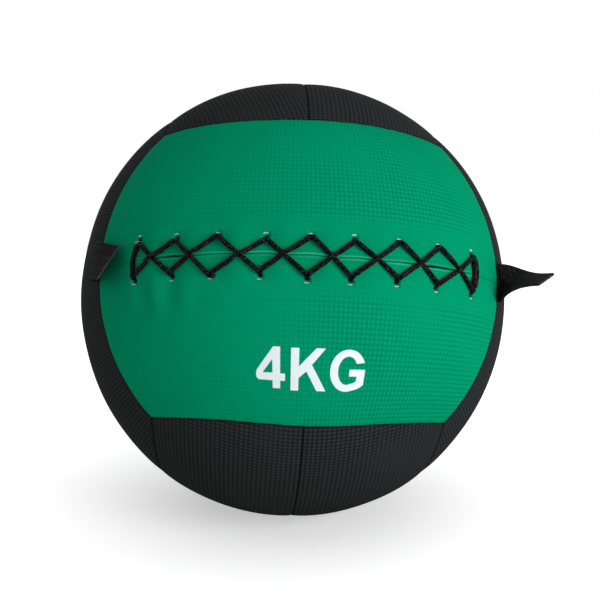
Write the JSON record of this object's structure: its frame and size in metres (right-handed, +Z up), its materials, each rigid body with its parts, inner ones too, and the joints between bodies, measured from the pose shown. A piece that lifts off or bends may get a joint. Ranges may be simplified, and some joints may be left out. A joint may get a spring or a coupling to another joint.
{
  "type": "wall ball",
  "caption": "Soft round weighted ball with a sewn panelled cover, a laced front slit, short webbing pull tabs and a padded, filled inside; it rests on a small flat patch.",
  "frame": {"origin": "centre of the flat patch on which the ball rests, on the floor", "axes": "+Z up from the floor; -Y is the laced front; +X to the right seen from the front. The ball's own upright leans back from +Z, so the laced face looks a little upwards."},
  "size_m": [0.3517, 0.348, 0.351],
  "materials": {
    "green_leatherette": "embossed synthetic leather, fine square grain",
    "black_leatherette": "embossed synthetic leather, fine square grain",
    "pale_backing": "pale woven backing cloth",
    "black_braid": "round braided cord",
    "black_webbing": "ribbed flat webbing",
    "shrink_sleeve": "shrunk plastic sleeve",
    "grey_foam": "closed-cell foam sheet",
    "lining_cloth": "plain woven lining",
    "textile_fill": "packed textile fill",
    "canvas": "plain canvas",
    "iron_sand": "loose iron grains"
  },
  "bodies": {
    "ball": {"cover_front_upper": "green_leatherette", "pad_front_upper": "grey_foam", "cover_front_lower": "green_leatherette", "pad_front_lower": "grey_foam", "cover_back_upper": "green_leatherette", "pad_back_upper": "grey_foam", "cover_back_lower": "green_leatherette", "pad_back_lower": "grey_foam", "cover_top_left": "black_leatherette", "pad_top_left": "grey_foam", "cover_top_right": "black_leatherette", "pad_top_right": "grey_foam", "cover_bottom_left": "black_leatherette", "pad_bottom_left": "grey_foam", "cover_bottom_right": "black_leatherette", "pad_bottom_right": "grey_foam", "cover_left_front": "black_leatherette", "pad_left_front": "grey_foam", "cover_left_back": "black_leatherette", "pad_left_back": "grey_foam", "cover_right_front": "black_leatherette", "pad_right_front": "grey_foam", "cover_right_back": "black_leatherette", "pad_right_back": "grey_foam", "lip_facing_upper": "pale_backing", "lip_facing_lower": "pale_backing", "slit_tongue": "green_leatherette", "lace": "black_braid", "lace_splice": "shrink_sleeve", "tab_left_root": "black_webbing", "tab_right_root": "black_webbing", "lining": "lining_cloth", "stuffing_upper": "textile_fill", "stuffing_lower": "textile_fill", "core_bag": "canvas", "core_sand": "iron_sand", "core_tie": "black_braid"},
    "left_tab": {"tab_left": "black_webbing"},
    "right_tab": {"tab_right": "black_webbing"}
  },
  "joints": [
    {"name": "tab_left_hinge", "type": "hinge", "parent": "ball", "child": "left_tab", "pos_m": [-0.14411, -0.09802, 0.21075], "axis": [0.0338, 0.247, 0.9684], "range_deg": [-110, 5]},
    {"name": "tab_right_hinge", "type": "hinge", "parent": "ball", "child": "right_tab", "pos_m": [0.14609, -0.09953, 0.19471], "axis": [0.0338, 0.247, 0.9684], "range_deg": [-40, 75]}
  ]
}
